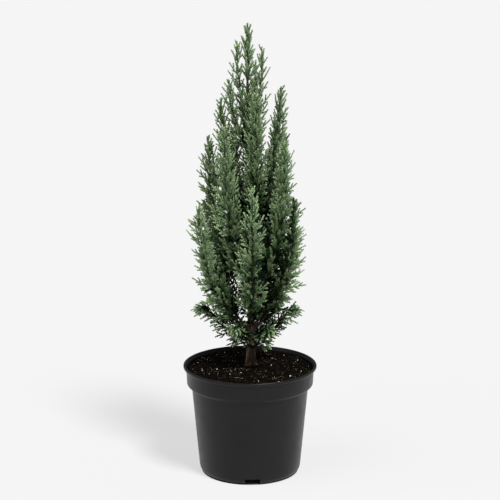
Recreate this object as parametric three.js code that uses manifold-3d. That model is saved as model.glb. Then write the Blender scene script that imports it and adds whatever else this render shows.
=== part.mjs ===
// A young columnar cypress in a nursery pot: pot, potting mix, trunk, steep boughs and upright plumes.
// Millimetres, +Z up. The origin is the centre of the pot's foot, on the surface that it stands on.
// Azimuths run from +X, the right-hand side, towards +Y, the back.

import * as THREE from "three";
import { mergeVertices } from "three/addons/utils/BufferGeometryUtils.js";
import Module from "manifold-3d";

const wasm = await Module();
wasm.setup();

// Clearance between pieces that touch
const GAP = 0.3;

// Pot
const POT_HEIGHT = 140;
const POT_WALL = 1.5;
const POT_FACETS = 40;
const LIP_RADIUS = 85;
const LIP_HEIGHT = 4;
const LIP_BEAD = 1.2;
const LIP_TOP = 2.6;
const BAND_RADIUS = 81.5;
const BAND_HEIGHT = 25;
const BAND_DRAFT = 1;
const WALL_TOP_RADIUS = 74.5;
const WALL_FOOT_RADIUS = 64.2;
const SHOULDER_DROP = 2.5;
const FOOT_ROUND = 8;
const FOOT_RING = 4.5;
const FLOOR_LIFT = 9.5;
const NOTCH = { count: 4, width: 19, height: 8, turn: 273 };

// Potting mix
const SOIL_EDGE_HEIGHT = 134.5;
const SOIL_MOUND_HEIGHT = 138.5;
const SOIL_MOUND_RADIUS = 14;

// Trunk, from its flat foot on the mix to the base of the leading plume
const TRUNK = {
  foot: SOIL_MOUND_HEIGHT + GAP,
  top: 500,
  x: 0.8,
  y: 3,
  lean: -3.6,
  sway: 2.4,
  radius: 5.6,
  tipRadius: 0.9,
  flare: 2.6,
  flareHeight: 7,
  sides: 10,
  steps: 16,
};

// Boughs
const BOUGH = { sides: 5, steps: 4, radius: 2.5, tipRadius: 1.05, thinning: 0.0035 };

// The leading plume, which grows on from the trunk's tip
const LEADER = { tip: 571, spread: 9, twigs: 7, twigAngle: 20 };

// Side plumes by tier. Each turn, tip and reach is one plume, whose line leaves the trunk at start and ends
// upright. share is how much of the line is bare bough, spread is the plume's widest radius, and rise and
// swing set the bend.
const TIERS = [
  {
    name: "crest", start: 400, stagger: 12, share: 0, spread: 14,
    rise: 0.42, swing: 0.95, twigs: 6, twigAngle: 20,
    turns: [12, 100, 188, 290, 200],
    tips: [545, 522, 552, 530, 505],
    reaches: [15, 18, 16, 19, 27],
  },
  {
    name: "upper", start: 262, stagger: -9, share: 0.26, spread: 22,
    rise: 0.36, swing: 0.62, twigs: 16, twigAngle: 26,
    turns: [358, 88, 182, 284],
    tips: [498, 484, 483, 492],
    reaches: [39, 34, 37, 30],
  },
  {
    name: "middle", start: 212, stagger: 7, share: 0.18, spread: 28,
    rise: 0.36, swing: 1.05, twigs: 16, twigAngle: 29,
    turns: [322, 34, 118, 168, 226],
    tips: [432, 438, 440, 434, 452],
    reaches: [53, 52, 47, 53, 45],
  },
  {
    name: "lower", start: 174, stagger: 6, share: 0.12, spread: 30,
    rise: 0.36, swing: 1.06, twigs: 16, twigAngle: 32,
    turns: [273, 334, 22, 82, 148, 204],
    tips: [382, 362, 352, 358, 350, 352],
    reaches: [54, 60, 60, 58, 65, 69],
  },
  {
    name: "basal", start: 152, stagger: 3, share: 0.1, spread: 19,
    rise: 1.1, swing: 0.75, twigs: 10, twigAngle: 36,
    turns: [300, 10, 66, 122, 186, 248],
    tips: [196, 208, 194, 208, 214, 200],
    reaches: [50, 60, 48, 60, 66, 54],
  },
];

// Foliage: a stem, and twigs that turn round it by the golden angle. Each twig and its spray are one toothed
// frond on a narrow neck: length is in plume radii, and the rest are shares of the frond.
const STEM = { sides: 3, steps: 4, end: 0.78, tipRadius: 0.45 };
const FROND = { length: 2.6, shortest: 0.3, width: 0.235, thick: 0.035, sunk: 0.4, middle: 0.34 };
// Fronds of one plume may share this volume, near their roots
const CROSSING = 5;
const FROND_NECK = { place: 0.2, half: 0.16 };
const FROND_TEETH = [
  { place: 0.5, half: 0.95, notch: 0.52, notchHalf: 0.42 },
  { place: 0.78, half: 0.75, notch: 0.79, notchHalf: 0.25 },
];
// The turns, leans and rolls tried for each frond, for the one with the most room
const FROND_TRIES = { turns: [0, 0.35, -0.35, 0.7, -0.7], leans: [1, 1.25], rolls: [0.5, -0.5] };
const TWIG = { firstPlace: 0.01, lastPlace: 0.8, jitter: 0.15 };
const SPACE_GAP = 0.9;
const LIMB_GAP = 0.6;
const GOLDEN_ANGLE = 2.39996;
const AXIS_SAMPLES = 28;
const SEED = 20;

const UP = new THREE.Vector3(0, 0, 1);
const radians = THREE.MathUtils.degToRad;
const lerp = THREE.MathUtils.lerp;

const material = (color, roughness) => new THREE.MeshStandardMaterial({ color, roughness, metalness: 0 });
const potPlastic = material(0x2b2b2c, 0.55);
const pottingMix = material(0x1e1a15, 0.95);
const bark = material(0x5a4334, 0.85);
const foliage = material(0x5f7a58, 0.7);

// Repeatable random numbers from 0 to 1
function seeded(seed) {
  let state = seed >>> 0;
  return () => {
    state = (state + 0x6d2b79f5) >>> 0;
    let mixed = Math.imul(state ^ (state >>> 15), state | 1);
    mixed ^= mixed + Math.imul(mixed ^ (mixed >>> 7), mixed | 61);
    return ((mixed ^ (mixed >>> 14)) >>> 0) / 4294967296;
  };
}

// Solids and meshes

function solidOf(geometry) {
  const bare = geometry.clone();
  bare.deleteAttribute("normal");
  bare.deleteAttribute("uv");
  const merged = mergeVertices(bare, 1e-4);
  return new wasm.Manifold(
    new wasm.Mesh({
      numProp: 3,
      vertProperties: new Float32Array(merged.attributes.position.array),
      triVerts: new Uint32Array(merged.index.array),
    }),
  );
}

// The largest body of a solid, without sealed hollows and loose scraps
function mainBody(solid) {
  return solid.decompose().reduce((best, body) => (body.volume() > best.volume() ? body : best));
}

function meshOf(name, solid, look) {
  const data = solid.getMesh();
  const geometry = new THREE.BufferGeometry();
  geometry.setAttribute("position", new THREE.BufferAttribute(data.vertProperties, 3));
  geometry.setIndex(new THREE.BufferAttribute(data.triVerts, 1));
  geometry.computeVertexNormals();
  const mesh = new THREE.Mesh(geometry, look);
  mesh.name = name;
  return mesh;
}

// Pot and mix

// Radius of the pot's outside wall at a height below the collar
function wallRadius(z) {
  const top = POT_HEIGHT - BAND_HEIGHT;
  return lerp(WALL_FOOT_RADIUS, WALL_TOP_RADIUS, (z - FOOT_ROUND) / (top - FOOT_ROUND));
}

function latheOf(points) {
  const geometry = new THREE.LatheGeometry(points.map(([r, z]) => new THREE.Vector2(r, z)), POT_FACETS);
  return geometry.rotateX(Math.PI / 2);
}

function potSolid() {
  const shoulder = POT_HEIGHT - BAND_HEIGHT;
  const lipFoot = POT_HEIGHT - LIP_HEIGHT;
  const floorTop = FLOOR_LIFT + POT_WALL;
  const footOuter = WALL_FOOT_RADIUS - FOOT_ROUND;
  const inner = BAND_RADIUS - POT_WALL;
  const profile = [[0, FLOOR_LIFT], [footOuter - FOOT_RING - 1, FLOOR_LIFT], [footOuter - FOOT_RING, 0]];
  for (const angle of [0, 30, 60, 90]) {
    const turn = radians(angle);
    profile.push([footOuter + FOOT_ROUND * Math.sin(turn), FOOT_ROUND * (1 - Math.cos(turn))]);
  }
  profile.push(
    [WALL_TOP_RADIUS, shoulder - SHOULDER_DROP],
    [BAND_RADIUS - BAND_DRAFT, shoulder],
    [BAND_RADIUS, lipFoot],
    [LIP_RADIUS, lipFoot + LIP_BEAD],
    [LIP_RADIUS, POT_HEIGHT - LIP_BEAD],
    [LIP_RADIUS - LIP_BEAD, POT_HEIGHT],
    [LIP_RADIUS - LIP_TOP, POT_HEIGHT],
    [inner, lipFoot],
    [inner - BAND_DRAFT, shoulder + POT_WALL],
    [WALL_TOP_RADIUS - POT_WALL, shoulder - SHOULDER_DROP + POT_WALL],
    [wallRadius(floorTop) - POT_WALL, floorTop],
    [0, floorTop],
  );
  let pot = solidOf(latheOf(profile));
  for (let k = 0; k < NOTCH.count; k++) {
    const turn = radians(NOTCH.turn + (360 * k) / NOTCH.count);
    const cutter = new THREE.BoxGeometry(2 * FOOT_RING + 2 * FOOT_ROUND, NOTCH.width, 2 * NOTCH.height);
    cutter.translate(footOuter, 0, 0).rotateZ(turn);
    pot = pot.subtract(solidOf(cutter));
  }
  return mainBody(pot);
}

function soilSolid() {
  const shoulder = POT_HEIGHT - BAND_HEIGHT;
  const floorTop = FLOOR_LIFT + POT_WALL;
  const side = POT_WALL + 2 * GAP;
  const mid = (SOIL_EDGE_HEIGHT + SOIL_MOUND_HEIGHT) / 2;
  return solidOf(
    latheOf([
      [0, floorTop + GAP],
      [wallRadius(floorTop) - side, floorTop + GAP],
      [WALL_TOP_RADIUS - side, shoulder - SHOULDER_DROP + side],
      [BAND_RADIUS - BAND_DRAFT - side, shoulder + side],
      [BAND_RADIUS - BAND_DRAFT - side, SOIL_EDGE_HEIGHT],
      [3 * SOIL_MOUND_RADIUS, mid],
      [SOIL_MOUND_RADIUS, SOIL_MOUND_HEIGHT],
      [0, SOIL_MOUND_HEIGHT],
    ]),
  );
}

// Limbs

class TrunkLine extends THREE.Curve {
  getPoint(t, target = new THREE.Vector3()) {
    const bend = (1 - Math.cos(2 * Math.PI * t)) / 2;
    const x = TRUNK.x + TRUNK.lean * t * t + TRUNK.sway * bend;
    return target.set(x, TRUNK.y * (1 - t * t), lerp(TRUNK.foot, TRUNK.top, t));
  }
}
const trunkLine = new TrunkLine();

function trunkRadius(t) {
  const height = t * (TRUNK.top - TRUNK.foot);
  return lerp(TRUNK.radius, TRUNK.tipRadius, t) + TRUNK.flare * Math.exp(-height / TRUNK.flareHeight);
}

function trunkAt(z) {
  return trunkLine.getPoint((z - TRUNK.foot) / (TRUNK.top - TRUNK.foot));
}

// A tapering limb: a cylinder bent along a stretch of a curve, with its ends square to it
function limbGeometry(curve, from, to, radiusAt, sides, steps, crowd = 1) {
  const geometry = new THREE.CylinderGeometry(1, 1, 1, sides, steps);
  const places = geometry.attributes.position;
  const start = new THREE.Vector3();
  const tangent = new THREE.Vector3();
  for (let i = 0; i < places.count; i++) {
    const along = (places.getY(i) + 0.5) ** crowd;
    const t = lerp(from, to, along);
    curve.getPoint(t, start);
    curve.getTangent(t, tangent);
    const across = new THREE.Vector3(1, 0, 0).addScaledVector(tangent, -tangent.x).normalize();
    const beside = across.clone().cross(tangent);
    start.addScaledVector(across, places.getX(i) * radiusAt(along));
    start.addScaledVector(beside, places.getZ(i) * radiusAt(along));
    places.setXYZ(i, start.x, start.y, start.z);
  }
  return geometry;
}

// The foot of the trunk has closer rings, for the root flare
const FOOT_CROWD = 1.8;
function trunkSolid(extra = 0) {
  const radius = (t) => trunkRadius(t) + extra;
  return solidOf(limbGeometry(trunkLine, 0, 1, radius, TRUNK.sides, TRUNK.steps, FOOT_CROWD));
}

// Plumes

// The line of one side plume, from the trunk's middle, outwards and then upright
function plumeLine(tier, k) {
  const turn = radians(tier.turns[k]);
  const out = new THREE.Vector3(Math.cos(turn), Math.sin(turn), 0).multiplyScalar(tier.reaches[k]);
  const foot = trunkAt(tier.start + tier.stagger * (k % 3));
  const tip = out.clone().setZ(tier.tips[k]);
  const bend = foot.clone().addScaledVector(out, tier.swing);
  bend.z += tier.rise * (tip.z - foot.z);
  return new THREE.QuadraticBezierCurve3(foot, bend, tip);
}

// The plume's radius along its stem, which swells early and ends in a point
function plumeRadius(spread, along) {
  return spread * Math.min(1, 0.55 + 2.2 * along) * (1 - along) ** 0.5 + 1.5;
}

function plumes() {
  const made = [];
  const leaderTip = new THREE.Vector3(TRUNK.x + TRUNK.lean, 0, LEADER.tip);
  const leaderLine = new THREE.LineCurve3(trunkLine.getPoint(1), leaderTip);
  made.push({ ...LEADER, name: "leader", line: leaderLine, share: 0, bough: null });
  for (const tier of TIERS) {
    tier.turns.forEach((_, k) => {
      const line = plumeLine(tier, k);
      const { name, share, spread, twigs, twigAngle } = tier;
      const number = String(k + 1);
      const bough = share > 0 ? `bough_${name}_${number}` : null;
      made.push({ name: `${name}_${number}`, line, share, spread, twigs, twigAngle, bough });
    });
  }
  for (const plume of made) {
    plume.axis = [];
    for (let i = 0; i <= AXIS_SAMPLES; i++) {
      const along = i / AXIS_SAMPLES;
      const point = plume.line.getPoint(lerp(plume.share, 1, along));
      plume.axis.push({ point, radius: plumeRadius(plume.spread, along) });
    }
  }
  return made;
}

function boughRadius(plume, along) {
  const base = BOUGH.radius + BOUGH.thinning * (plume.line.getLength() - 200);
  return lerp(base, BOUGH.tipRadius, along);
}

function boughSolid(plume, grownTrunk) {
  const radius = (along) => boughRadius(plume, along);
  const limb = limbGeometry(plume.line, 0, plume.share, radius, BOUGH.sides, BOUGH.steps);
  return mainBody(solidOf(limb).subtract(grownTrunk));
}

// Points along every limb, which foliage keeps clear of
function limbPoints(all) {
  const points = [];
  const steps = 3 * AXIS_SAMPLES;
  for (let i = 0; i <= steps; i++) {
    points.push({ point: trunkLine.getPoint(i / steps), radius: trunkRadius(i / steps) });
    for (const plume of all.filter((one) => one.bough)) {
      const point = plume.line.getPoint((plume.share * i) / steps);
      points.push({ point, radius: boughRadius(plume, i / steps) });
    }
  }
  return points;
}

// Foliage

// How far a place lies outside a set of balls, negative inside
function outside(place, balls) {
  let least = Infinity;
  for (const ball of balls) least = Math.min(least, place.distanceTo(ball.point) - ball.radius);
  return least;
}

// True where a place is in a plume's own space: inside its reach, nearest to it, and clear of every limb
function inSpace(place, plume, all, limbs) {
  const own = outside(place, plume.axis);
  if (own > 0) return false;
  if (outside(place, limbs) < LIMB_GAP) return false;
  return all.every((other) => other === plume || own + SPACE_GAP < outside(place, other.axis));
}

// The outline of a frond from root to tip and back, as shares of its length and half width
function frondOutline() {
  const side = [[FROND_NECK.place, FROND_NECK.half]];
  for (const { place, half, notch, notchHalf } of FROND_TEETH) side.push([place, half], [notch, notchHalf]);
  const back = side.map(([u, v]) => [u, -v]).reverse();
  return [[0, 0], ...side, [1, 0], ...back];
}
const FROND_OUTLINE = frondOutline();

// A toothed blade along +X with its faces along Y, from a sphere whose equator becomes the outline
function frondGeometry(length) {
  const geometry = new THREE.SphereGeometry(1, FROND_OUTLINE.length, 2);
  const places = geometry.attributes.position;
  const columns = FROND_OUTLINE.length + 1;
  const half = (FROND.thick * length) / 2;
  for (let i = 0; i < places.count; i++) {
    const row = Math.floor(i / columns);
    const [u, v] = FROND_OUTLINE[(i % columns) % FROND_OUTLINE.length];
    if (row === 1) places.setXYZ(i, u * length, 0, v * FROND.width * length);
    else places.setXYZ(i, FROND.middle * length, row === 0 ? half : -half, 0);
  }
  return geometry;
}

// Axes with X along a direction and Y turned by roll about it
function basisAt(origin, along, roll) {
  const x = along.clone().normalize();
  const flat = Math.abs(x.z) > 0.98 ? new THREE.Vector3(1, 0, 0) : UP;
  const y = flat.clone().cross(x).normalize().applyAxisAngle(x, roll);
  return new THREE.Matrix4().makeBasis(x, y, x.clone().cross(y)).setPosition(origin);
}

// Where a frond's outline comes to lie
function frondPlaces(length, matrix) {
  const flat = FROND_OUTLINE.slice(1).map(([u, v]) => new THREE.Vector3(u, 0, v * FROND.width));
  const between = flat.map((place, i) => place.clone().lerp(flat[(i + 1) % flat.length], 0.5));
  return [...flat, ...between].map((place) => place.multiplyScalar(length).applyMatrix4(matrix));
}

// The longest length at which a frond stays in its space, or 0
function fittedLength(matrix, longest, fits) {
  for (let length = longest; length >= FROND.shortest * longest; length *= 0.92) {
    if (frondPlaces(length, matrix).every(fits)) return length;
  }
  return 0;
}

// The longest frond that can grow one of the ways and crosses no frond already there, or null
function bestFrond(root, ways, longest, fits, fronds) {
  const choices = ways.map(({ way, roll }) => {
    const direction = way.clone().normalize();
    const matrix = basisAt(root.clone().addScaledVector(direction, -FROND.sunk), direction, roll);
    return { matrix, length: fittedLength(matrix, longest, fits) };
  });
  choices.sort((one, other) => other.length - one.length);
  for (const { matrix, length } of choices) {
    if (length === 0) return null;
    const frond = solidOf(frondGeometry(length).applyMatrix4(matrix));
    if (fronds.every((other) => frond.intersect(other).volume() < CROSSING)) return frond;
  }
  return null;
}

// Turns a direction that leaves a stem so that Y faces away from the stem
function rollFrom(along, outward) {
  const y = new THREE.Vector3().setFromMatrixColumn(basisAt(new THREE.Vector3(), along, 0), 1);
  const beside = along.clone().normalize().cross(y);
  return Math.atan2(outward.dot(beside), outward.dot(y));
}

// Directions and rolls to try for a frond that leaves a stem towards outward
function frondWays(stemWay, outward, lean) {
  const ways = [];
  for (const turn of FROND_TRIES.turns) {
    const away = outward.clone().applyAxisAngle(stemWay, turn);
    for (const steeper of FROND_TRIES.leans) {
      const angle = lean * steeper;
      const way = stemWay.clone().multiplyScalar(Math.cos(angle)).addScaledVector(away, Math.sin(angle));
      const facing = rollFrom(way, away);
      for (const roll of FROND_TRIES.rolls) ways.push({ way, roll: facing + roll });
    }
  }
  return ways;
}

function massSolid(plume, index, all, limbs, grownTrunk) {
  const random = seeded(SEED + 977 * index);
  const wobble = (amount) => amount * (2 * random() - 1);
  const fits = (place) => inSpace(place, plume, all, limbs);
  const from = plume.share + (plume.bough || index === 0 ? GAP / plume.line.getLength() : 0);
  const stemFoot = plume.bough ? BOUGH.tipRadius : TRUNK.tipRadius;
  const stemRadius = (along) => lerp(stemFoot, STEM.tipRadius, along);
  const stemEnd = lerp(from, 1, STEM.end);
  const stem = solidOf(limbGeometry(plume.line, from, stemEnd, stemRadius, STEM.sides, STEM.steps));

  const fronds = [];
  const grow = (root, ways, longest) => {
    const frond = bestFrond(root, ways, longest, fits, fronds);
    if (frond) fronds.push(frond);
  };

  const top = plume.line.getPoint(stemEnd);
  const topLength = top.distanceTo(plume.line.getPoint(1)) + FROND.sunk;
  grow(top, [{ way: plume.line.getTangent(1), roll: index * GOLDEN_ANGLE }], topLength);
  for (let k = plume.twigs - 1; k >= 0; k--) {
    const along = lerp(TWIG.firstPlace, TWIG.lastPlace, (k + 0.5) / plume.twigs);
    const t = lerp(from, 1, along);
    const root = plume.line.getPoint(t);
    const stemWay = plume.line.getTangent(t);
    const side = basisAt(root, stemWay, k * GOLDEN_ANGLE + index + wobble(0.3));
    const outward = new THREE.Vector3().setFromMatrixColumn(side, 1);
    const lean = radians(plume.twigAngle * (1 + wobble(TWIG.jitter)));
    const longest = FROND.length * plume.spread * (1 + wobble(TWIG.jitter));
    grow(root, frondWays(stemWay, outward, lean), longest);
  }
  return mainBody(wasm.Manifold.union([stem, ...fronds]).subtract(grownTrunk));
}

// The whole plant

const plant = new THREE.Group();
plant.add(meshOf("pot", potSolid(), potPlastic));
plant.add(meshOf("soil", soilSolid(), pottingMix));
plant.add(meshOf("trunk", trunkSolid(), bark));

const allPlumes = plumes();
const limbs = limbPoints(allPlumes);
const grownTrunk = trunkSolid(GAP);
allPlumes.forEach((plume, index) => {
  if (plume.bough) plant.add(meshOf(plume.bough, boughSolid(plume, grownTrunk), bark));
  plant.add(meshOf(`foliage_${plume.name}`, massSolid(plume, index, allPlumes, limbs, grownTrunk), foliage));
});

export default plant;
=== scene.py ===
"""Looks of a young columnar cypress in a nursery pot: plastic, potting mix, bark and scale-leaved sprays.

The frame is that of the solids, in metres with +Z up. Sizes here are millimetres, and each mesh is scaled as
it is made. Azimuths run from +X, the right-hand side, towards +Y, the back.
"""

import math
from collections import namedtuple
from itertools import combinations

import bpy
import numpy as np
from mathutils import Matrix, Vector


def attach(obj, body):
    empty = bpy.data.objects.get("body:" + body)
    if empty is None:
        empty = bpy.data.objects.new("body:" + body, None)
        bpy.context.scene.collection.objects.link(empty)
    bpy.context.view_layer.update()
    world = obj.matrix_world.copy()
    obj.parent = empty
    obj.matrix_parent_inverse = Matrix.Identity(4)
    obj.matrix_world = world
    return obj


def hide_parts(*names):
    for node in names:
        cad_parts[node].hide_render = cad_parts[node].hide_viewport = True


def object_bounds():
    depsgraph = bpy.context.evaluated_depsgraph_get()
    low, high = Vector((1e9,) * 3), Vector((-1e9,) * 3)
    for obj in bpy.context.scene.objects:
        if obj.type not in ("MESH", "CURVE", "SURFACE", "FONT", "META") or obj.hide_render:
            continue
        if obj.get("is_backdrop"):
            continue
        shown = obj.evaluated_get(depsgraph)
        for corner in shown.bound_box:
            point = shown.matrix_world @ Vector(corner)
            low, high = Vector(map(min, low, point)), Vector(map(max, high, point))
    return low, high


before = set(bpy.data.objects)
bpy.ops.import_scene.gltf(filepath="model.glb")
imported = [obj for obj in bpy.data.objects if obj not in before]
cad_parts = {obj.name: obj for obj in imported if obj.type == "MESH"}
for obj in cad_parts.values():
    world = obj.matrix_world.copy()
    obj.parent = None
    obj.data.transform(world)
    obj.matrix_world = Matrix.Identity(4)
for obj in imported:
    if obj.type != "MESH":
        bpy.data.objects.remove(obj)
CAD_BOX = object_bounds()

MM = 0.001

# Pot, as in the solids
POT_HEIGHT = 140
POT_WALL = 1.5
LIP_RADIUS = 85
LIP_HEIGHT = 4
LIP_TOP = 2.6
BAND_RADIUS = 81.5
BAND_HEIGHT = 25
BAND_DRAFT = 1
WALL_TOP_RADIUS = 74.5
WALL_FOOT_RADIUS = 64.2
SHOULDER = POT_HEIGHT - BAND_HEIGHT
SHOULDER_DROP = 2.5
FOOT_ROUND = 8
FOOT_RING = 4.5
FLOOR_LIFT = 9.5
FLOOR_TOP = FLOOR_LIFT + POT_WALL
NOTCH = {"count": 4, "width": 19, "height": 8, "turn": 273}
POT_SEGMENTS = 288
POT_STEP = 6
POT_SHARP_ANGLE = 40
LATHE_START = 0.4

# Potting mix, as in the solids, and what lies on it
SOIL_EDGE_HEIGHT = 134.5
SOIL_MOUND_HEIGHT = 138.5
SOIL_MOUND_RADIUS = 14
SOIL_GAP = 0.6
SOIL_RIM = BAND_RADIUS - BAND_DRAFT - POT_WALL - SOIL_GAP
SOIL_RINGS = 150
SOIL_FIRST_RING = 0.004
SOIL_CROWDING = 0.75
SOIL_SEGMENTS = 420
SOIL_FLOOR_START = 0.3
SOIL_LUMPS = ((9, 1.3), (4, 0.9), (1.9, 0.7), (0.9, 0.35))
SOIL_CALM = {"width": 5, "least": 0.35}

# Grains on the mix, inside LOOSE_RIM. Sides and lift are shares of a grain's size, clear is how far it keeps
# from the trunk's middle, and most are small, as crowding is over 1.
LOOSE_RIM = SOIL_RIM - 1.5
CRUMBS = {"count": 5200, "least": 0.5, "most": 2.3, "shape": (1, 0.8, 0.7), "lift": 0.2, "clear": 0}
CHIPS = {"count": 420, "least": 1.4, "most": 4.2, "shape": (1, 0.5, 0.22), "lift": 0.12, "clear": 0}
PERLITE = {"count": 80, "least": 0.7, "most": 2.3, "shape": (1, 0.85, 0.75), "lift": 0.25, "clear": 8}
GRAIN = {"crowding": 2.4, "knobs": (0.72, 1.2), "sides": (0.75, 1.25)}
FIBRES = {
    "count": 60, "shortest": 4, "longest": 14, "radius": 0.15, "rings": 12, "sides": 5, "clear": 8,
    "curl": 1.3, "lift": 0.25, "arch": (0.2, 1.6), "thickness": (0.6, 1.3), "taper": 0.6,
}

# Trunk and boughs, as in the solids
TRUNK = {
    "foot": 138.8, "top": 500, "x": 0.8, "y": 3, "lean": -3.6, "sway": 2.4,
    "radius": 5.6, "tip_radius": 0.9, "flare": 2.6, "flare_height": 7,
}
BOUGH = {"radius": 2.5, "tip_radius": 1.05, "thinning": 0.0035, "usual_length": 200}
TRUNK_MESH = {"sides": 84, "rings": 420, "crowding": 1.5, "sunk": 4}
BOUGH_MESH = {"sides": 26, "rings": 90, "crowding": 1.2}
BUTTRESS = {"count": 3, "swell": 0.16, "height": 11, "turn": 0.7}
COLLAR = {"swell": 0.55, "start": 4, "length": 5}

# Relief of the bark: height as a share of the limb's radius, then width, length and number at least
BARK = {
    "strips": {"height": 0.075, "width": 3.2, "length": 26, "fewest": 5},
    "flakes": {"height": 0.05, "width": 1.7, "length": 7, "fewest": 7},
    "grain": {"height": 0.03, "width": 0.8, "length": 3.5, "fewest": 9},
}
BARK_WAVER = {"height": 0.35, "count": 3, "length": 22}
BARK_SUNK = 0.4

# The leading plume, and the side plumes by tier, with lines, spreads and twigs as in the solids. The rest is
# for the twigs here. finer is how many there are for each frond of the solids, and angle is their lean. lift
# bends them up, or down below 0. flare crowds them to the plume's outer side and leans those out. gap is the
# share of spread by which they keep back from the next plumes, or go in among them below 0. bare is their
# inner share that has no leaves. inset is how far inside the plume's reach an outer twig ends, plume by
# plume, or how far past it below 0.
LEADER = {
    "name": "leader", "tip": 571, "spread": 9, "twigs": 7, "angle": 25, "finer": 4.2,
    "lift": 0.15, "flare": 0, "gap": -0.4, "bare": 0.05,
    "inset": [-3],
}
TIERS = [
    {
        "name": "crest", "start": 400, "stagger": 12, "share": 0, "spread": 14,
        "rise": 0.42, "swing": 0.95, "twigs": 6, "angle": 27, "finer": 6.0,
        "lift": 0.15, "flare": 0.15, "gap": -0.35, "bare": 0.06,
        "turns": [12, 100, 188, 290, 200],
        "tips": [545, 522, 552, 530, 505],
        "reaches": [15, 18, 16, 19, 27],
        "inset": [-3] * 5,
    },
    {
        "name": "upper", "start": 262, "stagger": -9, "share": 0.26, "spread": 22,
        "rise": 0.36, "swing": 0.62, "twigs": 16, "angle": 25, "finer": 5.8,
        "lift": 0.2, "flare": 0.35, "gap": -0.12, "bare": 0.12,
        "turns": [358, 88, 182, 284],
        "tips": [498, 484, 483, 492],
        "reaches": [39, 34, 37, 30],
        "inset": [-4, -2, 0, -1],
    },
    {
        "name": "middle", "start": 212, "stagger": 7, "share": 0.18, "spread": 28,
        "rise": 0.36, "swing": 1.05, "twigs": 16, "angle": 27, "finer": 6.4,
        "lift": 0.2, "flare": 0.6, "gap": -0.12, "bare": 0.12,
        "turns": [322, 34, 118, 168, 226],
        "tips": [432, 438, 440, 434, 452],
        "reaches": [53, 52, 47, 53, 45],
        "inset": [4, 4, -2, 4, 2],
    },
    {
        "name": "lower", "start": 174, "stagger": 6, "share": 0.12, "spread": 30,
        "rise": 0.36, "swing": 1.06, "twigs": 16, "angle": 30, "finer": 7.0,
        "lift": 0.1, "flare": 0.75, "gap": -0.15, "bare": 0.12,
        "turns": [273, 334, 22, 82, 148, 204],
        "tips": [382, 362, 352, 358, 350, 352],
        "reaches": [54, 60, 60, 58, 65, 69],
        "inset": [11, 8, 8, 9, 6, 11],
    },
    {
        "name": "basal", "start": 152, "stagger": 3, "share": 0.1, "spread": 19,
        "rise": 1.1, "swing": 0.75, "twigs": 10, "angle": 36, "finer": 6.3,
        "lift": -0.45, "flare": 0, "gap": -0.15, "bare": 0.22,
        "turns": [300, 10, 66, 122, 186, 248],
        "tips": [196, 208, 194, 208, 214, 200],
        "reaches": [50, 60, 48, 60, 66, 54],
        "inset": [-1] * 6,
    },
]
PLUME_SHAPE = {"foot": 0.55, "opening": 2.2, "least": 1.5}
OUT_NUDGE = (0.001, 0, 0)
AXIS_SAMPLES = 28
LENGTH_SAMPLES = 200
SEED = 20
PLUME_SEEDS = 977

# Twigs turn round a plume's stem by the golden angle. One that points aside counts as outer by sideways.
GOLDEN_ANGLE = 2.39996
TWIG = {
    "first": 0.01, "last": 0.97, "jitter": 0.15, "longest": 3.2, "turn_wobble": 0.3, "spreading": 0.35,
    "tip_cone": 0.78, "tip_least": 3, "lead": 17, "ragged": 0.34, "favour": 0.3, "shortest": 4,
    "sideways": 0.5,
}
TWIG_TRIALS = np.linspace(0.12, 1, 23)

# How far past its plume's reach a twig may end, and the power that makes such twigs rare. Shoots may go half
# as far as their twig, and REACH_OVER more. All keep LIMB_GAP clear of the trunk and boughs.
TIP_OVER = 9
TIP_RARITY = 3
REACH_OVER = -3.5
LIMB_GAP = 0.6

# Sprays: side shoots along a twig, and fingers along a side shoot, but for the parent's free end. A length is
# a share of what the parent has ahead, less lead. tilt is how far shoots leave the spray's plane, and curve
# how far they bend back to their parent's direction.
SHOOT = {
    "step": 4.6, "free": 9, "lead": 3, "share": 0.6, "least": 6, "most": 21,
    "angle": 36, "tilt": 0.15, "curve": 0.35,
}
FINGER = {
    "step": 2.6, "free": 5, "lead": 0, "share": 0.6, "least": 3.5, "most": 7,
    "angle": 22, "tilt": 0.15, "curve": 0.2, "first": 2.6,
}
SHOOT_JITTER = {"place": (0.3, 0.7), "angle": (0.88, 1.12), "length": (0.82, 1.18)}
FIT_SHARES = (1, 0.75, 0.5)
SPRAY_ROLL = {"middle": 90, "most": 35}

# Stems: radii of a plume's stem as shares of its bough's tip, radii of twigs, and the shares of their length
# where green begins, how far brown overlaps it and where it ends
STEM = {"foot": 1, "green": 0.7, "tip": 0.3, "green_from": 0.3, "end": 0.97}
TWIG_STEM = {"foot": 0.62, "brown_tip": 0.5, "green": 0.6, "tip": 0.4, "overlap": 0.1, "end": 0.98}

# Scale leaves in crossed pairs: lengths and steps on twigs, side shoots and fingers, then shape as shares of
# the length, but for the angle and for root, the distance from the stem's middle
LEAF_LENGTHS = (3.0, 2.8, 2.6)
LEAF_STEPS = (1.6, 1.35, 1.25)
LEAF_SHAPE = {"width": 0.95, "belly": 0.55, "fold": 0.18, "angle": 11, "root": 0.42, "taper": 0.18}
LEAF_FIRST = 0.3
LEAF_JITTER = {"turn": 0.25, "angle": (0.7, 1.3), "length": (0.85, 1.15), "tone": 0.15}

# Leaf colours from shaded to fresh and lit, then withered, number WITHERED, which is for dark shoots in a few
# sprays. The darker colours stand partly for painted shade inside the foliage, the paler ones partly for
# painted light.
LEAF_COLOURS = {
    "shaded": (0.002, 0.006, 0.001),
    "deep": (0.015, 0.036, 0.010),
    "grey": (0.070, 0.129, 0.051),
    "mid": (0.146, 0.235, 0.109),
    "light": (0.230, 0.338, 0.182),
    "fresh_and_lit": (0.335, 0.445, 0.230),
    "withered": (0.150, 0.088, 0.042),
}
WITHERED = 6
WITHERED_SHARE = 0.006
WITHERED_BELOW = 1.5
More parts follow.
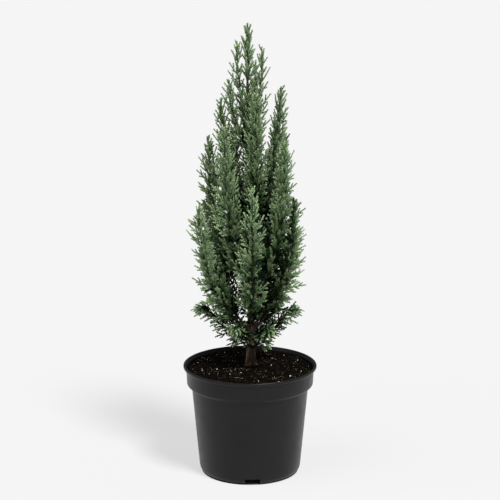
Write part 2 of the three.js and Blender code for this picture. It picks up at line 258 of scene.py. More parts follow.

# A shoot's tone is a number among those colours. It rises out from the plume's stem, out from the trunk and
# with height, and falls in the grooves between plumes: painted shade deep in plumes, near the trunk, low down
# and in the grooves, and painted light out and up. plume, twig and shoot are random spreads. TONE_ALONG is
# added from foot to tip, on twigs, side shoots and fingers: paler new growth at the tips, and painted shade
# at the feet of sprays.
TONE = {
    "base": 5.04, "depth": 3.9, "crown": 3.0, "height": 1.9, "groove": -3.9,
    "plume": 0.12, "twig": 1.1, "shoot": 0.75,
}
TONE_MOST = 4.99
TONE_ALONG = ((-2.8, 0.3), (-1.9, 0.4), (-1.0, 0.3))

# Heights, and the radii there at which a shoot is painted pale, wide at the foot, which is painted dark as if
# shaded by the foliage above. At CROWN_MIDDLE of that radius shoots are neither paler nor darker; nearer the
# trunk they get painted shade, further out painted light. Between the heights CROWN_OPEN this painted shade
# and the grooves' painted shade fade out. GROOVE_WIDTH is a share of the plume's spread.
CROWN = [
    (150, 165), (185, 105), (220, 56), (285, 54), (360, 53), (430, 46), (490, 32), (520, 19), (574, 8),
]
CROWN_MIDDLE = 0.72
CROWN_OPEN = (350, 450)
GROOVE_WIDTH = 0.25

# Camera, floor and lights, with places and FLOOR_REACH in metres
CAMERA = {"place": (0, -2.0, 0.751), "pitch": 13.0, "lens": 117.65, "sensor": 36, "clip": 200}
FLOOR_REACH = 45
FLOOR_DARK_INSET = 2
# FLOOR_GLOW is painted light: the floor glows so that the shadows cast on it are lighter.
FLOOR_GLOW = 0.605
WORLD_STRENGTH = 0.22
LIGHTS = [
    {"name": "key", "place": (1.1, -1.6, 2.6), "angle": 16, "power": 3.8},
    {"name": "fill", "place": (-1.6, -0.9, 2.2), "angle": 50, "power": 0.85},
]

# Noise: its table's size, a shift into the table's middle, and the range that most of a shader's noise is in
NOISE_SIZE = 256
NOISE_SHIFT = 90
NOISE_RANGE = (0.3, 0.7)
NOISE_ROUGHNESS = 0.55
WORN_FINENESS = 1.7

# How many places are measured at a time, the bits of a random number, and from where a tube runs along X
BLOCK = 4000
MASK = 0xFFFFFFFF
ALONG_X = 0.8
UP = np.array([0.0, 0.0, 1.0])


def lerp(a, b, t):
    return a + (b - a) * t


def normalised(vectors):
    return vectors / np.linalg.norm(vectors, axis=-1, keepdims=True)


def square_to(ways, faces):
    """Unit vectors nearest to faces that are square to ways."""
    return normalised(faces - ways * (faces * ways).sum(-1, keepdims=True))


def circle(count):
    """Angles at even steps round a circle."""
    return np.arange(count) * 2 * np.pi / count


def arc(start, bend, end, t):
    """Places on the curve from start to end that bends towards a third point."""
    return start * (1 - t) ** 2 + bend * 2 * t * (1 - t) + end * t**2


def seeded(seed):
    """Repeatable random numbers from 0 to 1, by the rule of the solids."""
    state = seed & MASK
    while True:
        state = (state + 0x6D2B79F5) & MASK
        mixed = ((state ^ (state >> 15)) * (state | 1)) & MASK
        step = ((mixed ^ (mixed >> 7)) * (mixed | 61)) & MASK
        mixed ^= (mixed + step) & MASK
        yield ((mixed ^ (mixed >> 14)) & MASK) / 4294967296


def lattice_noise(u, v, seed, wrap=NOISE_SIZE):
    """Smooth noise from -1 to 1 over unit steps. wrap is how many steps close a ring along u."""
    table = np.random.default_rng(seed).uniform(-1, 1, (NOISE_SIZE, NOISE_SIZE))
    iu, iv = np.floor(u).astype(int), np.floor(v).astype(int)
    fu, fv = u - iu, v - iv
    su, sv = fu * fu * (3 - 2 * fu), fv * fv * (3 - 2 * fv)
    u0, u1 = iu % wrap, (iu + 1) % wrap
    v0, v1 = iv % NOISE_SIZE, (iv + 1) % NOISE_SIZE
    low = lerp(table[u0, v0], table[u1, v0], su)
    high = lerp(table[u0, v1], table[u1, v1], su)
    return lerp(low, high, sv)


# Meshes


def mesh_object(name, points, faces, materials, indices=None, smooth=True):
    """A piece from arrays of points, in millimetres, and of faces with the same number of corners."""
    mesh = bpy.data.meshes.new(name)
    mesh.vertices.add(len(points))
    mesh.vertices.foreach_set("co", (np.asarray(points) * MM).astype(np.float32).ravel())
    mesh.loops.add(faces.size)
    mesh.loops.foreach_set("vertex_index", faces.astype(np.int32).ravel())
    mesh.polygons.add(len(faces))
    mesh.polygons.foreach_set("loop_start", np.arange(0, faces.size, faces.shape[1], dtype=np.int32))
    for look in materials:
        mesh.materials.append(look)
    if indices is not None:
        mesh.polygons.foreach_set("material_index", indices.astype(np.int32))
    mesh.polygons.foreach_set("use_smooth", np.full(len(faces), smooth))
    mesh.update(calc_edges=True)
    piece = bpy.data.objects.new(name, mesh)
    bpy.context.scene.collection.objects.link(piece)
    return piece


def dressed(piece, slot, *nodes):
    """Lets a piece ride on the plant and stand for nodes of the solids."""
    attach(piece, "root")
    if nodes:
        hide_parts(*nodes)
    return piece


def ring_faces(count, rings, sides):
    """Quads between neighbouring rings of count tubes, whose points run tube by tube and ring by ring."""
    tube = np.arange(count)[:, None, None] * rings * sides
    ring = np.arange(rings - 1)[None, :, None] * sides
    side = np.arange(sides)[None, None, :]
    after = (side + 1) % sides
    start = tube + ring
    return np.stack(
        np.broadcast_arrays(start + side, start + after, start + sides + after, start + sides + side), axis=-1
    ).reshape(-1, 4)


def tube_points(lines, radii, sides):
    """Points round lines, an array of tubes, rings and places. radii has one number a ring or a point."""
    ways = normalised(np.gradient(lines, axis=1))
    along_x = np.abs(ways[:, :, 0]).mean(axis=1) > ALONG_X
    reference = np.where(along_x[:, None, None], [0.0, 1.0, 0.0], [1.0, 0.0, 0.0])
    across = square_to(ways, reference)
    beside = np.cross(ways, across)
    turn = circle(sides)
    spokes = across[:, :, None] * np.cos(turn)[:, None] + beside[:, :, None] * np.sin(turn)[:, None]
    reach = radii if radii.ndim == 3 else radii[:, :, None]
    return (lines[:, :, None] + spokes * reach[..., None]).reshape(-1, 3)


# Materials


def new_material(name):
    look = bpy.data.materials.new(name)
    look.use_nodes = True
    return look, look.node_tree, look.node_tree.nodes["Principled BSDF"]


def set_inputs(node, values):
    for name, value in values.items():
        node.inputs[name].default_value = value


def plain(name, values):
    """A material that is the same all over, from the values of its shader."""
    look, _, shader = new_material(name)
    set_inputs(shader, values)
    return look


def noise_node(tree, scale, stretch, detail=4):
    """A noise over the object's own metres."""
    place = tree.nodes.new("ShaderNodeTexCoord")
    mapping = tree.nodes.new("ShaderNodeMapping")
    noise = tree.nodes.new("ShaderNodeTexNoise")
    set_inputs(mapping, {"Scale": stretch})
    set_inputs(noise, {"Scale": scale, "Detail": detail, "Roughness": NOISE_ROUGHNESS})
    tree.links.new(place.outputs["Object"], mapping.inputs["Vector"])
    tree.links.new(mapping.outputs["Vector"], noise.inputs["Vector"])
    return noise


def ramp_node(tree, source, stops):
    """A colour ramp over a noise. stops are pairs of place and colour."""
    ramp = tree.nodes.new("ShaderNodeValToRGB")
    while len(ramp.color_ramp.elements) < len(stops):
        ramp.color_ramp.elements.new(0.5)
    for element, (place, colour) in zip(ramp.color_ramp.elements, stops):
        element.position = place
        element.color = (*colour, 1)
    tree.links.new(source, ramp.inputs["Fac"])
    return ramp


def range_node(tree, source, low, high):
    spread = tree.nodes.new("ShaderNodeMapRange")
    start, end = NOISE_RANGE
    set_inputs(spread, {"From Min": start, "From Max": end, "To Min": low, "To Max": high})
    tree.links.new(source, spread.inputs["Value"])
    return spread


def mottled(name, stops, scale, roughness, bump, specular, stretch=(1, 1, 1)):
    """A material whose colour, roughness and fine relief follow noise. bump is scale, strength and depth."""
    look, tree, shader = new_material(name)
    set_inputs(shader, {"Specular IOR Level": specular})
    colour = noise_node(tree, scale, stretch)
    ramp = ramp_node(tree, colour.outputs["Fac"], stops)
    tree.links.new(ramp.outputs["Color"], shader.inputs["Base Color"])
    worn = noise_node(tree, scale * WORN_FINENESS, stretch, detail=6)
    sheen = range_node(tree, worn.outputs["Fac"], *roughness)
    tree.links.new(sheen.outputs["Result"], shader.inputs["Roughness"])
    grain = noise_node(tree, bump[0], stretch, detail=3)
    relief = tree.nodes.new("ShaderNodeBump")
    set_inputs(relief, {"Strength": bump[1], "Distance": bump[2] * MM})
    tree.links.new(grain.outputs["Fac"], relief.inputs["Height"])
    tree.links.new(relief.outputs["Normal"], shader.inputs["Normal"])
    return look


POT_PLASTIC = mottled(
    "pot_plastic",
    [(0.3, (0.0034, 0.0034, 0.0036)), (0.7, (0.0053, 0.0052, 0.0055))],
    38, (0.3, 0.42), (2600, 0.22, 0.12), specular=0.26,
)
SOIL_LOOK = mottled(
    "potting_mix",
    [(0.3, (0.0006, 0.0005, 0.0003)), (0.55, (0.0022, 0.0018, 0.0011)), (0.75, (0.009, 0.0068, 0.0036))],
    420, (0.8, 1.0), (1500, 0.7, 0.6), specular=0.04,
)
CRUMB_DARK = mottled(
    "crumb_dark", [(0.3, (0.0007, 0.0006, 0.0003)), (0.7, (0.0056, 0.0047, 0.0026))],
    700, (0.75, 1.0), (2200, 0.6, 0.4), specular=0.04,
)
CRUMB_BROWN = mottled(
    "crumb_brown", [(0.3, (0.006, 0.0044, 0.0026)), (0.7, (0.032, 0.022, 0.012))],
    700, (0.7, 0.95), (2200, 0.6, 0.4), specular=0.08,
)
CHIP_LOOK = mottled(
    "bark_chip", [(0.3, (0.024, 0.014, 0.008)), (0.7, (0.110, 0.066, 0.038))],
    500, (0.65, 0.9), (1800, 0.6, 0.4), specular=0.3,
)
PERLITE_LOOK = mottled(
    "perlite", [(0.3, (0.58, 0.57, 0.54)), (0.7, (0.86, 0.85, 0.82))],
    900, (0.7, 0.95), (2600, 0.5, 0.3), specular=0.3,
)
FIBRE_LOOK = mottled(
    "root_fibre", [(0.3, (0.10, 0.070, 0.042)), (0.7, (0.32, 0.25, 0.16))],
    300, (0.6, 0.85), (2600, 0.4, 0.2), specular=0.3,
)
BARK_LOOK = mottled(
    "bark",
    [(0.28, (0.012, 0.007, 0.004)), (0.5, (0.070, 0.043, 0.026)), (0.72, (0.220, 0.140, 0.090))],
    230, (0.68, 0.92), (900, 0.8, 0.9), stretch=(1, 1, 0.22), specular=0.3,
)
TWIG_LOOK = mottled(
    "twig_bark",
    [(0.3, (0.026, 0.015, 0.010)), (0.7, (0.080, 0.046, 0.029))],
    300, (0.6, 0.85), (1500, 0.5, 0.3), specular=0.35,
)
LEAF_SURFACE = {"Roughness": 0.46, "Specular IOR Level": 0.2}
LEAF_LOOKS = [plain(name, {"Base Color": (*rgb, 1), **LEAF_SURFACE}) for name, rgb in LEAF_COLOURS.items()]


# Pot


def wall_radius(z):
    return lerp(WALL_FOOT_RADIUS, WALL_TOP_RADIUS, (z - FOOT_ROUND) / (SHOULDER - FOOT_ROUND))


def rounded_outline(corners, steps=7):
    """An outline through corners of radius, height and rounding, with each corner turned into a curve."""
    made = [np.array(corners[0][:2], float)]
    for before, corner, after in zip(corners, corners[1:], corners[2:]):
        middle = np.array(corner[:2], float)
        if corner[2] == 0:
            made.append(middle)
            continue
        back = np.array(before[:2], float) - middle
        ahead = np.array(after[:2], float) - middle
        enter = middle + back * corner[2] / np.linalg.norm(back)
        leave = middle + ahead * corner[2] / np.linalg.norm(ahead)
        made += [arc(enter, middle, leave, t) for t in np.linspace(0, 1, steps)]
    made.append(np.array(corners[-1][:2], float))
    return np.array(made)


def lathe_points(outline, segments):
    turn = circle(segments)
    radius, height = outline[:, :1], np.broadcast_to(outline[:, 1:], (len(outline), segments))
    return np.stack([radius * np.cos(turn), radius * np.sin(turn), height], axis=-1).reshape(-1, 3)


def pot_outline():
    lip_foot = POT_HEIGHT - LIP_HEIGHT
    foot = WALL_FOOT_RADIUS - FOOT_ROUND
    inner = BAND_RADIUS - POT_WALL
    drop = SHOULDER - SHOULDER_DROP
    return rounded_outline(
        [
            (LATHE_START, FLOOR_LIFT, 0),
            (foot - FOOT_RING - 1, FLOOR_LIFT, 1.2),
            (foot - FOOT_RING, 0, 0.7),
            (WALL_FOOT_RADIUS, 0, FOOT_ROUND),
            (WALL_TOP_RADIUS, drop, 1.6),
            (BAND_RADIUS - BAND_DRAFT, SHOULDER, 2.4),
            (BAND_RADIUS, lip_foot, 1.1),
            (LIP_RADIUS, lip_foot + 0.5, 1.5),
            (LIP_RADIUS, POT_HEIGHT, 1.2),
            (LIP_RADIUS - LIP_TOP, POT_HEIGHT, 0.6),
            (inner, lip_foot, 1.6),
            (inner - BAND_DRAFT, SHOULDER + POT_WALL, 1.2),
            (WALL_TOP_RADIUS - POT_WALL, drop + POT_WALL, 1.2),
            (wall_radius(FLOOR_TOP) - POT_WALL, FLOOR_TOP, 2),
            (LATHE_START, FLOOR_TOP, 0),
        ]
    )


def evenly(outline, longest):
    """The outline with its long straights cut into even steps."""
    made = [outline[:1]]
    for start, end in zip(outline, outline[1:]):
        steps = max(1, math.ceil(np.linalg.norm(end - start) / longest))
        made.append(start + (end - start) * (np.arange(1, steps + 1) / steps)[:, None])
    return np.concatenate(made)


def notch_cutter():
    """Boxes, as one mesh, where the drain notches are cut out of the foot."""
    corners = np.array([[x, y, z] for x in (-1, 1) for y in (-1, 1) for z in (-1, 1)], float)
    quads = np.array([[0, 1, 3, 2], [4, 6, 7, 5], [0, 4, 5, 1], [2, 3, 7, 6], [0, 2, 6, 4], [1, 5, 7, 3]])
    halves = np.array([FOOT_RING + FOOT_ROUND, NOTCH["width"] / 2, NOTCH["height"]])
    points, faces = [], []
    for k in range(NOTCH["count"]):
        turn = math.radians(NOTCH["turn"] + 360 * k / NOTCH["count"])
        box = corners * halves + [WALL_FOOT_RADIUS - FOOT_ROUND, 0, 0]
        cos, sin = math.cos(turn), math.sin(turn)
        spun = np.array([[cos, -sin, 0], [sin, cos, 0], [0, 0, 1]])
        faces.append(quads + 8 * k)
        points.append(box @ spun.T)
    return mesh_object("notch_cutter", np.concatenate(points), np.concatenate(faces), [], smooth=False)


def make_pot():
    outline = evenly(pot_outline(), POT_STEP)
    points = lathe_points(outline, POT_SEGMENTS)
    faces = ring_faces(1, len(outline), POT_SEGMENTS)
    pot = mesh_object("pot_shell", points, faces, [POT_PLASTIC])
    cutter = notch_cutter()
    cut = pot.modifiers.new("notches", "BOOLEAN")
    cut.operation = "DIFFERENCE"
    cut.solver = "FAST"
    cut.object = cutter
    graph = bpy.context.evaluated_depsgraph_get()
    finished = bpy.data.meshes.new_from_object(pot.evaluated_get(graph))
    pot.modifiers.clear()
    pot.data = finished
    bpy.data.objects.remove(cutter)
    finished.set_sharp_from_angle(angle=math.radians(POT_SHARP_ANGLE))
    dressed(pot, "pot", "pot")


make_pot()


# Potting mix


def soil_height(x, y):
    """The height of the lumpy surface of the mix."""
    radius = np.hypot(x, y)
    middle = (SOIL_EDGE_HEIGHT + SOIL_MOUND_HEIGHT) / 2
    places = [0, SOIL_MOUND_RADIUS, 3 * SOIL_MOUND_RADIUS, SOIL_RIM]
    level = np.interp(radius, places, [SOIL_MOUND_HEIGHT, SOIL_MOUND_HEIGHT, middle, SOIL_EDGE_HEIGHT])
    calm = np.clip((SOIL_RIM - radius) / SOIL_CALM["width"], SOIL_CALM["least"], 1)
    for k, (size, height) in enumerate(SOIL_LUMPS):
        lumps = lattice_noise(x / size + NOISE_SHIFT, y / size + NOISE_SHIFT, SEED + k)
        level = level + calm * height * lumps
    return level


def make_soil():
    side = POT_WALL + SOIL_GAP
    turn = circle(SOIL_SEGMENTS)
    radii = SOIL_RIM * np.linspace(SOIL_FIRST_RING, 1, SOIL_RINGS) ** SOIL_CROWDING
    x, y = radii[:, None] * np.cos(turn), radii[:, None] * np.sin(turn)
    top = np.stack([x, y, soil_height(x, y)], axis=-1).reshape(-1, 3)
    below = np.array(
        [
            (SOIL_RIM, SHOULDER + side),
            (WALL_TOP_RADIUS - side, SHOULDER - SHOULDER_DROP + side),
            (wall_radius(FLOOR_TOP) - side, FLOOR_TOP + SOIL_GAP),
            (SOIL_FLOOR_START, FLOOR_TOP + SOIL_GAP),
        ]
    )
    points = np.concatenate([top, lathe_points(below, SOIL_SEGMENTS)])
    faces = ring_faces(1, SOIL_RINGS + len(below), SOIL_SEGMENTS)
    dressed(mesh_object("soil_bed", points, faces, [SOIL_LOOK]), "soil", "soil")


def icosahedron():
    """The 12 corners of a ball with 20 sides, and those sides, between corners that share edges."""
    golden = (1 + 5**0.5) / 2
    corners = []
    for a, b in ((1, golden), (1, -golden), (-1, golden), (-1, -golden)):
        corners += [(0, a, b), (a, b, 0), (b, 0, a)]
    points = normalised(np.array(corners, float))
    edge = 2 / math.hypot(1, golden)
    near = np.linalg.norm(points[:, None] - points[None], axis=-1) < 1.1 * edge
    faces = []
    for i, j, k in combinations(range(len(points)), 3):
        if near[i, j] and near[j, k] and near[i, k]:
            normal = np.cross(points[j] - points[i], points[k] - points[i])
            faces.append((i, j, k) if normal @ points[i] > 0 else (i, k, j))
    return points, np.array(faces)


def random_turns(rng, count):
    """Random rotation matrices, from normalised quaternions."""
    w, x, y, z = normalised(rng.normal(size=(count, 4))).T
    rows = [
        [1 - 2 * (y * y + z * z), 2 * (x * y - z * w), 2 * (x * z + y * w)],
        [2 * (x * y + z * w), 1 - 2 * (x * x + z * z), 2 * (y * z - x * w)],
        [2 * (x * z - y * w), 2 * (y * z + x * w), 1 - 2 * (x * x + y * y)],
    ]
    return np.moveaxis(np.array(rows), -1, 0)


def on_soil(rng, count, clear):
    """Random places on the mix, clear of the trunk's middle."""
    radius = np.sqrt(rng.uniform(clear**2, LOOSE_RIM**2, count))
    turn = rng.uniform(0, 2 * np.pi, count)
    x, y = radius * np.cos(turn), radius * np.sin(turn)
    return np.stack([x, y, soil_height(x, y)], axis=-1)


def make_grains(name, kind, looks, seed):
    """Rough grains on the mix, each a ball of 12 corners pushed in and out."""
    rng = np.random.default_rng(seed)
    count = kind["count"]
    ball, faces = icosahedron()
    size = lerp(kind["least"], kind["most"], rng.random(count) ** GRAIN["crowding"])
    knobbly = ball[None] * rng.uniform(*GRAIN["knobs"], (count, len(ball), 1))
    sides = np.array(kind["shape"]) * rng.uniform(*GRAIN["sides"], (count, 3))
    solid = knobbly * (sides * size[:, None] / 2)[:, None]
    turned = np.einsum("nij,nkj->nki", random_turns(rng, count), solid)
    places = on_soil(rng, count, kind["clear"])
    places[:, 2] += kind["lift"] * size
    points = (turned + places[:, None]).reshape(-1, 3)
    joined = (faces[None] + len(ball) * np.arange(count)[:, None, None]).reshape(-1, 3)
    dealt = np.repeat(rng.integers(0, len(looks), count), len(faces))
    dressed(mesh_object(name, points, joined, looks, dealt, smooth=False), "soil")


def make_fibres():
    """Pale root fibres that lie over the mix."""
    rng = np.random.default_rng(SEED + 31)
    count, rings, sides = FIBRES["count"], FIBRES["rings"], FIBRES["sides"]
    start = on_soil(rng, count, FIBRES["clear"])
    length = rng.uniform(FIBRES["shortest"], FIBRES["longest"], count)
    heading = rng.uniform(0, 2 * np.pi, count)
    curl = rng.normal(0, FIBRES["curl"], count)
    t = np.linspace(0, 1, rings)
    turn = heading[:, None] + curl[:, None] * t
    step = length[:, None] / rings
    x = start[:, :1] + np.cumsum(np.cos(turn) * step, axis=1)
    y = start[:, 1:2] + np.cumsum(np.sin(turn) * step, axis=1)
    pull = np.minimum(1, LOOSE_RIM / np.hypot(x, y))
    x, y = x * pull, y * pull
    arch = rng.uniform(*FIBRES["arch"], count)[:, None] * np.sin(np.pi * t)
    z = soil_height(x, y) + FIBRES["lift"] + arch
    thickness = FIBRES["radius"] * rng.uniform(*FIBRES["thickness"], count)
    radii = thickness[:, None] * (1 - FIBRES["taper"] * t)
    points = tube_points(np.stack([x, y, z], axis=-1), radii, sides)
    dressed(mesh_object("root_fibres", points, ring_faces(count, rings, sides), [FIBRE_LOOK]), "soil")


make_soil()
make_grains("mix_crumbs", CRUMBS, [CRUMB_DARK, CRUMB_DARK, CRUMB_BROWN], SEED + 11)
make_grains("bark_chips", CHIPS, [CHIP_LOOK, CRUMB_BROWN], SEED + 12)
make_grains("perlite_grains", PERLITE, [PERLITE_LOOK], SEED + 13)
make_fibres()


# Lines of the trunk and plumes, as in the solids


def trunk_line(t):
    t = np.asarray(t, float)
    bend = (1 - np.cos(2 * np.pi * t)) / 2
    x = TRUNK["x"] + TRUNK["lean"] * t * t + TRUNK["sway"] * bend
    return np.stack([x, TRUNK["y"] * (1 - t * t), lerp(TRUNK["foot"], TRUNK["top"], t)], axis=-1)


def trunk_radius(t):
    height = t * (TRUNK["top"] - TRUNK["foot"])
    flare = TRUNK["flare"] * np.exp(-height / TRUNK["flare_height"])
    return lerp(TRUNK["radius"], TRUNK["tip_radius"], t) + flare


def trunk_at(z):
    return trunk_line((z - TRUNK["foot"]) / (TRUNK["top"] - TRUNK["foot"]))


Plume = namedtuple("Plume", "name number index tier share points spread out places radii")


def on_plume(plume, t):
    """Places on a plume's line, from its foot, bend and tip."""
    return arc(*plume.points, np.asarray(t, float)[..., None])


def plume_way(plume, t):
    t = np.asarray(t, float)[..., None]
    foot, bend, tip = plume.points
    return normalised((bend - foot) * (1 - t) + (tip - bend) * t)


def plume_length(plume):
    line = on_plume(plume, np.linspace(0, 1, LENGTH_SAMPLES))
    return np.linalg.norm(np.diff(line, axis=0), axis=1).sum()


def plume_radius(spread, along):
    opening = np.minimum(1, PLUME_SHAPE["foot"] + PLUME_SHAPE["opening"] * along)
    return spread * opening * np.sqrt(1 - along) + PLUME_SHAPE["least"]


def make_plume(tier, number, index, points):
    """A plume from its foot, bend and tip. The leader leans to no side, so a nudge gives it one."""
    share, spread = tier.get("share", 0), tier["spread"]
    along = np.linspace(0, 1, AXIS_SAMPLES + 1)
    out = normalised((points[2] - points[0]) * [1, 1, 0] + OUT_NUDGE)
    places = arc(*points, lerp(share, 1, along)[:, None])
    radii = plume_radius(spread, along)
    return Plume(tier["name"], number, index, tier, share, points, spread, out, places, radii)


def make_plumes():
    top = trunk_line(1.0)
    tip = np.array([TRUNK["x"] + TRUNK["lean"], 0, LEADER["tip"]])
    made = [make_plume(LEADER, 0, 0, (top, (top + tip) / 2, tip))]
    for tier in TIERS:
        for k, degrees in enumerate(tier["turns"]):
            turn = math.radians(degrees)
            out = np.array([math.cos(turn), math.sin(turn), 0]) * tier["reaches"][k]
            foot = trunk_at(tier["start"] + tier["stagger"] * (k % 3))
            tip = out + UP * tier["tips"][k]
            bend = foot + out * tier["swing"] + UP * tier["rise"] * (tip[2] - foot[2])
            made.append(make_plume(tier, k + 1, len(made), (foot, bend, tip)))
    return made


PLUMES = make_plumes()


def bough_radius(plume, along):
    base = BOUGH["radius"] + BOUGH["thinning"] * (plume_length(plume) - BOUGH["usual_length"])
    return lerp(base, BOUGH["tip_radius"], along)


# Trunk and boughs


def bark_relief(lengths, girth, sides, seed):
    """Relief of stringy bark as shares of the radius, over places along a limb and round it."""
    u, v = np.meshgrid(np.arange(sides) / sides, lengths)
    waves, stretch = BARK_WAVER["count"], v / BARK_WAVER["length"]
    waver = BARK_WAVER["height"] * lattice_noise(u * waves, stretch, seed + len(BARK), wrap=waves)
    noise = {}
    for k, (kind, size) in enumerate(BARK.items()):
        count = max(size["fewest"], round(girth / size["width"]))
        shift = 0 if kind == "grain" else waver
        noise[kind] = lattice_noise(u * count + shift, v / size["length"], seed + k, wrap=count)
    noise["strips"] = 1 - 2 * np.abs(noise["strips"])
    relief = sum(size["height"] * noise[kind] for kind, size in BARK.items())
    return relief - BARK["strips"]["height"] * BARK_SUNK


def make_trunk():
    rings, sides = TRUNK_MESH["rings"], TRUNK_MESH["sides"]
    t = np.linspace(0, 1, rings) ** TRUNK_MESH["crowding"]
    line = trunk_line(t)
    lengths = line[:, 2] - TRUNK["foot"]
    line[0, 2] -= TRUNK_MESH["sunk"]
    turn = circle(sides)
    fading = BUTTRESS["swell"] * np.exp(-lengths / BUTTRESS["height"])
    buttress = fading[:, None] * np.cos(BUTTRESS["count"] * turn + BUTTRESS["turn"])
    relief = bark_relief(lengths, 2 * np.pi * TRUNK["radius"], sides, SEED + 41)
    radii = trunk_radius(t)[:, None] * (1 + relief + buttress)
    points = tube_points(line[None], radii[None], sides)
    dressed(mesh_object("trunk_bark", points, ring_faces(1, rings, sides), [BARK_LOOK]), "bark", "trunk")


def make_boughs():
    rings, sides = BOUGH_MESH["rings"], BOUGH_MESH["sides"]
    points, names = [], []
    for plume in PLUMES:
        if plume.share == 0:
            continue
        along = np.linspace(0, 1, rings) ** BOUGH_MESH["crowding"]
        line = on_plume(plume, plume.share * along)
        lengths = np.concatenate([[0], np.cumsum(np.linalg.norm(np.diff(line, axis=0), axis=1))])
        base = bough_radius(plume, along)
        swell = 1 + COLLAR["swell"] * np.exp(-np.maximum(0, lengths - COLLAR["start"]) / COLLAR["length"])
        relief = bark_relief(lengths, 2 * np.pi * base[0], sides, SEED + 50 + 5 * plume.index)
        radii = (base * swell)[:, None] * (1 + relief)
        points.append(tube_points(line[None], radii[None], sides))
        names.append(f"bough_{plume.name}_{plume.number}")
    faces = ring_faces(len(points), rings, sides)
    piece = mesh_object("bough_bark", np.concatenate(points), faces, [BARK_LOOK])
    dressed(piece, "bark", *names)


make_trunk()
make_boughs()


# Foliage


def outside(places, centres, radii):
    """How far places lie outside a set of balls, negative inside."""
    made = np.empty(len(places))
    for start in range(0, len(places), BLOCK):
        few = places[start : start + BLOCK]
        apart = np.linalg.norm(few[:, None] - centres[None], axis=-1) - radii
        made[start : start + BLOCK] = apart.min(axis=1)
    return made


def limb_balls():
    """Balls along the trunk and boughs, which leaves keep clear of."""
    t = np.linspace(0, 1, 3 * AXIS_SAMPLES + 1)
    places, radii = [trunk_line(t)], [trunk_radius(t)]
    for plume in PLUMES:
        if plume.share > 0:
            places.append(on_plume(plume, plume.share * t))
            radii.append(bough_radius(plume, t))
    return np.concatenate(places), np.concatenate(radii)


LIMBS = limb_balls()


def reaching(places, plume):
    """How far places lie outside a plume's own space, and how far past its border with the others."""
    own = outside(places, plume.places, plume.radii)
    others = [other for other in PLUMES if other.index != plume.index]
    centres = np.concatenate([other.places for other in others])
    radii = np.concatenate([other.radii for other in others])
    return own, own - outside(places, centres, radii)


def fitting(places, plume, over):
    """True where places are in a plume's reach, not in a neighbour's and clear of limbs."""
    own, past = reaching(places, plume)
    clear = outside(places, *LIMBS) > LIMB_GAP
    return (own < over) & (past < -plume.tier["gap"] * plume.spread) & clear


def curve_at(shoots, owner, s):
    """Places and directions at lengths s along bent shoots."""
    bend = (shoots["end_way"] - shoots["way"])[owner]
    share = (s / shoots["length"][owner])[:, None]
    place = shoots["root"][owner] + (shoots["way"][owner] + bend * share / 2) * s[:, None]
    return place, normalised(shoots["way"][owner] + bend * share)


def twig_lines(plume, draw):
    """Roots, first and last directions, longest lengths and faces of a plume's twigs, the lead last."""
    tier = plume.tier
    count = round(tier["twigs"] * tier["finer"])
    stretch = plume_length(plume) * (1 - plume.share)
    lines = []
    for k in reversed(range(count)):
        along = lerp(TWIG["first"], TWIG["last"], (k + 0.5) / count)
        t = lerp(plume.share, 1, along)
        turn = k * GOLDEN_ANGLE + plume.index + TWIG["turn_wobble"] * (2 * next(draw) - 1)
        turn -= TWIG["favour"] * tier["flare"] * math.sin(turn)
        opening = 1 + TWIG["spreading"] * (1 - along)
        lean = math.radians(tier["angle"]) * opening * (1 + TWIG["jitter"] * (2 * next(draw) - 1))
        reach = TWIG["longest"] * tier["spread"] * (1 + TWIG["jitter"] * (2 * next(draw) - 1))
        ahead = (1 - along) * stretch
        reach = min(reach, TWIG["tip_least"] + TWIG["tip_cone"] * ahead)
        stem = plume_way(plume, t)
        side = normalised(np.cross(stem, plume.out))
        outward = np.cross(side, stem) * math.cos(turn) + side * math.sin(turn)
        lean *= 1 + tier["flare"] * max(0, outward @ plume.out)
        way = stem * math.cos(lean) + outward * math.sin(lean)
        end = normalised(way + UP * tier["lift"])
        lines.append((on_plume(plume, t), way, end, reach, outward))
    lead = lerp(1, plume.share, TWIG["lead"] / stretch)
    lines.append((on_plume(plume, lead), plume_way(plume, lead), plume_way(plume, 1), TWIG["lead"], side))
    return [np.array(column) for column in zip(*lines)]


def twigs_of(plume):
    """Twigs that turn round a plume's stem by the golden angle, each as long as its space lets it be."""
    tier = plume.tier
    draw = seeded(SEED + PLUME_SEEDS * plume.index)
    roots, ways, ends, longest, faces = twig_lines(plume, draw)
    facing = np.clip(faces @ plume.out + TWIG["sideways"], 0, 1)
    inset = tier["inset"][max(0, plume.number - 1)] * facing
    over = np.array([lerp(-edge, TIP_OVER, next(draw) ** TIP_RARITY) for edge in inset])
    length = np.zeros(len(roots))
    for share in TWIG_TRIALS:
        tips = roots + (ways + ends) / 2 * (longest * share)[:, None]
        length = np.where(fitting(tips, plume, over), longest * share, length)
    length *= [1 - TWIG["ragged"] * next(draw) for _ in length]
    length[-1] = TWIG["lead"]
    twigs = {
        "root": roots, "way": ways, "end_way": ends, "length": length, "face": faces, "over": over,
        "plume": np.full(len(roots), plume.index), "bare": np.full(len(roots), tier["bare"]),
    }
    return picked(twigs, length > TWIG["shortest"])


def joined(parts):
    return {key: np.concatenate([part[key] for part in parts]) for key in parts[0]}


def picked(shoots, kept):
    return {key: values[kept] for key, values in shoots.items()}


def counted(counts):
    """For each of a run of counts, the owner of every item and its number."""
    owner = np.repeat(np.arange(len(counts)), counts)
    first = np.cumsum(counts) - counts
    return owner, np.arange(len(owner)) - first[owner]


